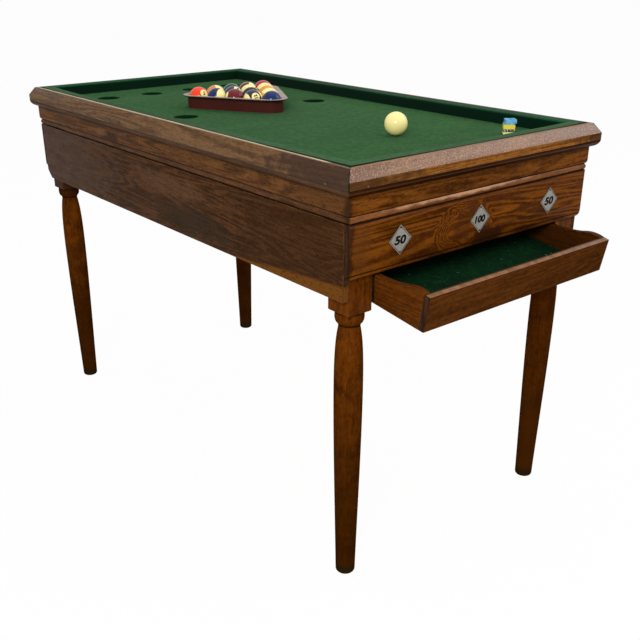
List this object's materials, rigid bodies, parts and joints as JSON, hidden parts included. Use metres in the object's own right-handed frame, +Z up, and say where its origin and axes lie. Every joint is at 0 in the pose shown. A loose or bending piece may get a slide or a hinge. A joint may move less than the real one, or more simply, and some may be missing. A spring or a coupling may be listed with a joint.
{
  "type": "bar billiards table",
  "caption": "Small oak bar billiards table on turned legs: green cloth bed with pocket holes, score diamonds, ball drawer under the player's end, racked pool balls, cue ball and chalk.",
  "frame": {"origin": "on the floor, under the middle of the whole outline with the drawer as it stands; the middle between the four legs is 52.8 mm further along +Y", "axes": "+Z up; +Y from the player's end, with the drawer and the score plates, to the far end; +X to the player's right"},
  "size_m": [0.686, 1.3956, 0.8641],
  "materials": {
    "oak_rail": "oak, brown stain, glossy varnish",
    "oak_board": "oak, brown stain, worn satin varnish",
    "turned_oak": "turned oak, satin varnish",
    "drawer_wood": "oak, satin varnish",
    "plain_softwood": "unfinished softwood",
    "bed_wood": "unfinished plywood",
    "green_cloth": "napped wool cloth",
    "cushion_rubber": "rubber covered with green wool cloth",
    "steel": "plain steel, dull",
    "plate_metal": "dull metal with black numerals",
    "rack_plastic": "maroon moulded plastic",
    "ball_resin": "polished resin in several colours",
    "chalk": "pressed blue chalk, dusty",
    "label_paper": "yellow paper label"
  },
  "bodies": {
    "table": {"apron_front": "oak_board", "bead_back": "oak_board", "bead_front": "oak_board", "bead_left": "oak_board", "bead_right": "oak_board", "bed_board": "bed_wood", "bed_cloth": "green_cloth", "bed_ledgers": "plain_softwood", "block_screws": "steel", "chalk_label": "label_paper", "chalk_lower": "chalk", "chalk_upper": "chalk", "corner_block_back_left": "turned_oak", "corner_block_back_right": "turned_oak", "corner_block_front_left": "turned_oak", "corner_block_front_right": "turned_oak", "cushion_back": "cushion_rubber", "cushion_front": "cushion_rubber", "cushion_left": "cushion_rubber", "cushion_liners": "plain_softwood", "cushion_right": "cushion_rubber", "drawer_guide_left": "plain_softwood", "drawer_guide_right": "plain_softwood", "drawer_stops": "plain_softwood", "end_board": "oak_board", "frieze_back": "oak_board", "frieze_front": "oak_board", "frieze_left": "oak_board", "frieze_right": "oak_board", "guide_packings": "plain_softwood", "leg_back_left": "turned_oak", "leg_back_right": "turned_oak", "leg_bolts": "steel", "leg_front_left": "turned_oak", "leg_front_right": "turned_oak", "plate_100": "plate_metal", "plate_50_left": "plate_metal", "plate_50_right": "plate_metal", "plate_pins": "steel", "racked_balls": "ball_resin", "rail_back": "oak_rail", "rail_front": "oak_rail", "rail_left": "oak_rail", "rail_nails": "steel", "rail_right": "oak_rail", "run_cheek_left": "plain_softwood", "run_cheek_right": "plain_softwood", "run_cloth": "green_cloth", "run_end_stop": "plain_softwood", "run_floor": "bed_wood", "side_board_left": "oak_board", "side_board_right": "oak_board"},
    "drawer": {"drawer_front": "drawer_wood", "drawer_side_left": "drawer_wood", "drawer_side_right": "drawer_wood", "drawer_floor": "bed_wood", "drawer_felt": "green_cloth", "drawer_cleats": "plain_softwood"},
    "rack": {"rack_triangle": "rack_plastic"},
    "cue_ball": {"cue_ball": "ball_resin"}
  },
  "joints": [
    {"name": "drawer_slide", "type": "slide", "parent": "table", "child": "drawer", "axis": [0, -1, 0], "range_m": [-0.1206, 0.06]},
    {"name": "rack_lift", "type": "slide", "parent": "table", "child": "rack", "axis": [0, 0, 1], "range_m": [0, 0.1]},
    {"name": "cue_ball_roll", "type": "slide", "parent": "table", "child": "cue_ball", "axis": [0, 1, 0], "range_m": [-0.18, 0.34]}
  ]
}
